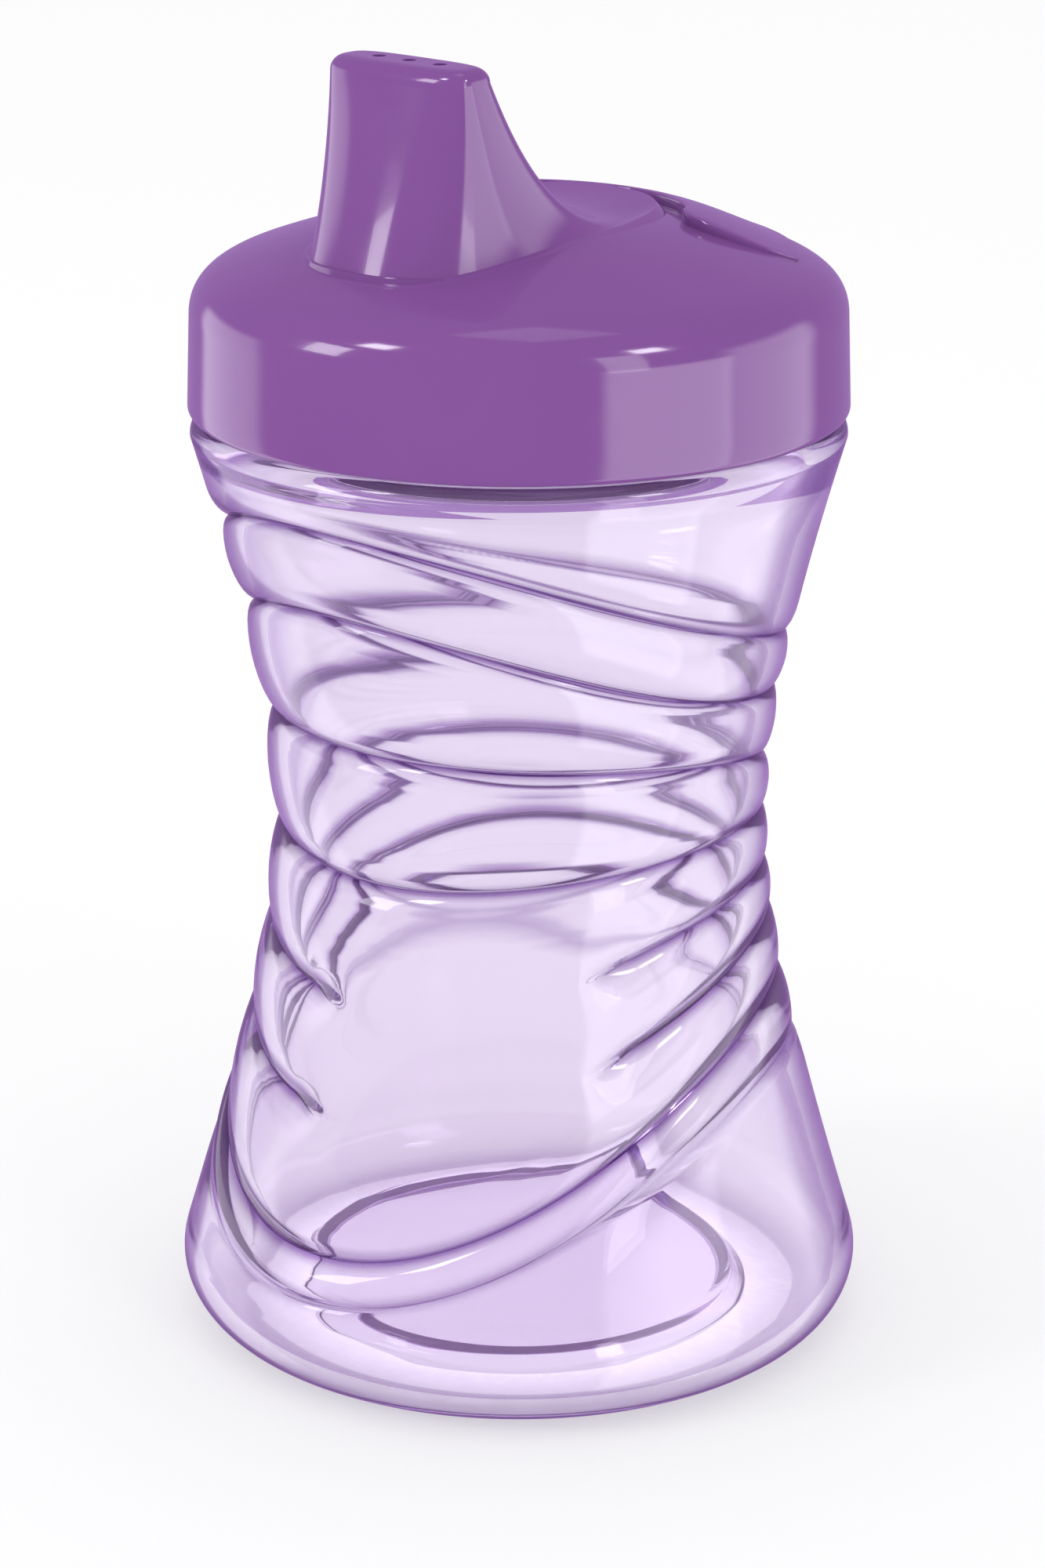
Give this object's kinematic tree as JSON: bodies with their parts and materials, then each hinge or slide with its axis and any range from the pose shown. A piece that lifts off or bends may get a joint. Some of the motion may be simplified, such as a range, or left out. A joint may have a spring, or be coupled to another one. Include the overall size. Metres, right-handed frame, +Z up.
{
  "type": "sippy cup",
  "caption": "Hourglass drinking cup for toddlers with grip grooves, a screw lid with a hard spout, a seal ring and a valve.",
  "frame": {"origin": "centre of the foot, on the surface that the cup stands on", "axes": "+Z up, -Y towards the spout, +Y towards the air vent"},
  "size_m": [0.0804, 0.0804, 0.1502],
  "materials": {
    "tinted_plastic": "clear, lightly tinted and polished",
    "lid_plastic": "polished opaque plastic",
    "seal_silicone": "soft satin silicone",
    "valve_silicone": "soft translucent silicone"
  },
  "bodies": {
    "cup": {"cup_body": "tinted_plastic"},
    "seal": {"lid_seal": "seal_silicone"},
    "lid": {"lid_shell": "lid_plastic"},
    "valve": {"valve": "valve_silicone"}
  },
  "joints": [
    {"name": "lid_lift", "type": "slide", "parent": "cup", "child": "seal", "axis": [0, 0, 1], "range_m": [0, 0.0141]},
    {"name": "lid_turn", "type": "hinge", "parent": "seal", "child": "lid", "pos_m": [0, 0, 0.115], "axis": [0, 0, 1], "range_deg": [0, 720]},
    {"name": "valve_pull", "type": "slide", "parent": "lid", "child": "valve", "axis": [0, 0, -1], "range_m": [0, 0.009]}
  ],
  "couplings": [
    {"joint": "lid_lift", "follows": "lid_turn", "m_per_rad": 0.0011141}
  ]
}
